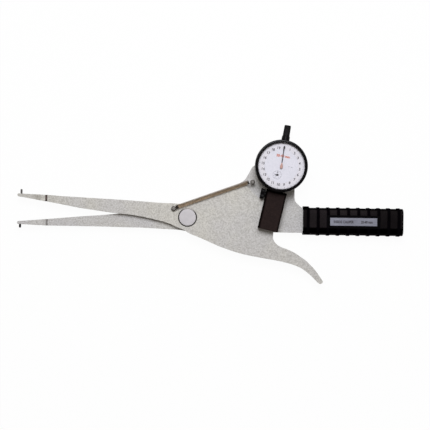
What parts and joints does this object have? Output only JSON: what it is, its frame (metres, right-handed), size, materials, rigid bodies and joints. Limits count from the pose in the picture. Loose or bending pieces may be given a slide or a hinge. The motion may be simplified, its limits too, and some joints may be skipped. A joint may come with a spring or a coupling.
{
  "type": "internal dial caliper",
  "caption": "Hand gauge with two long crossing jaws, outward contact pins, trigger, tension spring, round dial and ribbed pistol-style grip.",
  "frame": {"origin": "centre of the bounding box in X and Y, at the back face of the grip in Z", "axes": "+X along the grip away from the jaws, +Y towards the dial's end, +Z out of the dial's face along the pivot axis"},
  "size_m": [0.4066, 0.1662, 0.0393],
  "materials": {
    "painted_plate": "fine speckled satin, warm light grey",
    "jaw_steel": "satin ground",
    "braze": "dull brown braze metal",
    "dark_steel": "dark ground carbide and black oxide steel",
    "screw_steel": "bright turned",
    "bush_brass": "turned",
    "spring_wire": "oil tempered dark brown wire",
    "black_plastic": "moulded, fine matt",
    "black_metal": "satin black",
    "dial_paint": "flat white",
    "hand_paint": "flat black",
    "label_silver": "satin silver plate",
    "clear_crystal": "clear, polished"
  },
  "bodies": {
    "frame": {"main_frame": "painted_plate", "lower_jaw_tip": "painted_plate", "lower_braze_band": "braze", "lower_contact_pin": "dark_steel", "pivot_screw": "jaw_steel", "pivot_washer": "screw_steel", "pivot_nut": "screw_steel", "pivot_lock_washer": "screw_steel", "frame_spring_post": "dark_steel", "return_spring": "spring_wire", "stop_pin": "screw_steel", "grip_front_shell": "black_plastic", "grip_back_shell": "black_plastic", "grip_screw_1": "screw_steel", "grip_screw_2": "screw_steel", "grip_screw_3": "screw_steel", "name_plate": "label_silver", "spindle_guard": "black_plastic", "guard_screw_1": "screw_steel", "guard_screw_2": "screw_steel", "stem_clamp": "black_metal", "clamp_block_screw_1": "screw_steel", "clamp_block_screw_2": "screw_steel", "dial_case": "black_metal", "dial_back_cover": "black_metal", "back_cover_screw_1": "screw_steel", "back_cover_screw_2": "screw_steel", "back_cover_screw_3": "screw_steel", "back_cover_screw_4": "screw_steel", "dial_stem": "screw_steel", "spindle_cap": "black_metal", "movement_back_plate": "bush_brass", "movement_front_plate": "bush_brass", "inner_dial_plate": "dial_paint"},
    "front_plate": {"moving_arm": "painted_plate", "upper_jaw_tip": "painted_plate", "upper_braze_band": "braze", "upper_contact_pin": "jaw_steel", "pivot_bush": "bush_brass", "arm_spring_post": "dark_steel", "anvil": "screw_steel", "anvil_screw": "screw_steel"},
    "spindle": {"spindle_rack": "screw_steel", "contact_point": "screw_steel"},
    "transfer": {"transfer_gear": "bush_brass"},
    "pointer": {"centre_pinion": "bush_brass", "main_pointer": "hand_paint"},
    "counter": {"counter_gear": "bush_brass", "counter_hand": "hand_paint"},
    "rim": {"bezel": "black_metal", "scale_ring": "dial_paint", "crystal": "clear_crystal"},
    "knob": {"clamp_knob": "black_plastic"}
  },
  "joints": [
    {"name": "arm_hinge", "type": "hinge", "parent": "frame", "child": "front_plate", "pos_m": [-0.0237, -0.01501, 0.0166], "axis": [0, 0, 1], "range_deg": [0, 6.8], "stiffness_Nm_per_rad": 0.35, "springref_deg": -25.78, "deforming": ["return_spring"]},
    {"name": "spindle_slide", "type": "slide", "parent": "frame", "child": "spindle", "axis": [0.1564, 0.9877, 0], "range_m": [0, 0.0108]},
    {"name": "transfer_gear_turn", "type": "hinge", "parent": "frame", "child": "transfer", "pos_m": [0.07822, 0.04412, 0.025], "axis": [0, 0, 1], "range_deg": [-195, 0]},
    {"name": "pointer_turn", "type": "hinge", "parent": "frame", "child": "pointer", "pos_m": [0.07325, 0.03959, 0.025], "axis": [0, 0, 1], "range_deg": [0, 390]},
    {"name": "counter_turn", "type": "hinge", "parent": "frame", "child": "counter", "pos_m": [0.069, 0.03048, 0.025], "axis": [0, 0, 1], "range_deg": [-112, 0]},
    {"name": "bezel_turn", "type": "hinge", "parent": "frame", "child": "rim", "pos_m": [0.07325, 0.03959, 0.035], "axis": [0, 0, 1], "continuous": true},
    {"name": "clamp_knob_turn", "type": "hinge", "parent": "frame", "child": "knob", "pos_m": [0.06816, 0.00794, 0.02475], "axis": [-0.9763, 0.2164, 0], "range_deg": [0, 270]}
  ],
  "couplings": [
    {"joint": "spindle_slide", "follows": "arm_hinge", "m_per_rad": 0.08816},
    {"joint": "transfer_gear_turn", "follows": "arm_hinge", "ratio": -28.076},
    {"joint": "pointer_turn", "follows": "arm_hinge", "ratio": 56.153},
    {"joint": "counter_turn", "follows": "arm_hinge", "ratio": -16.044}
  ]
}
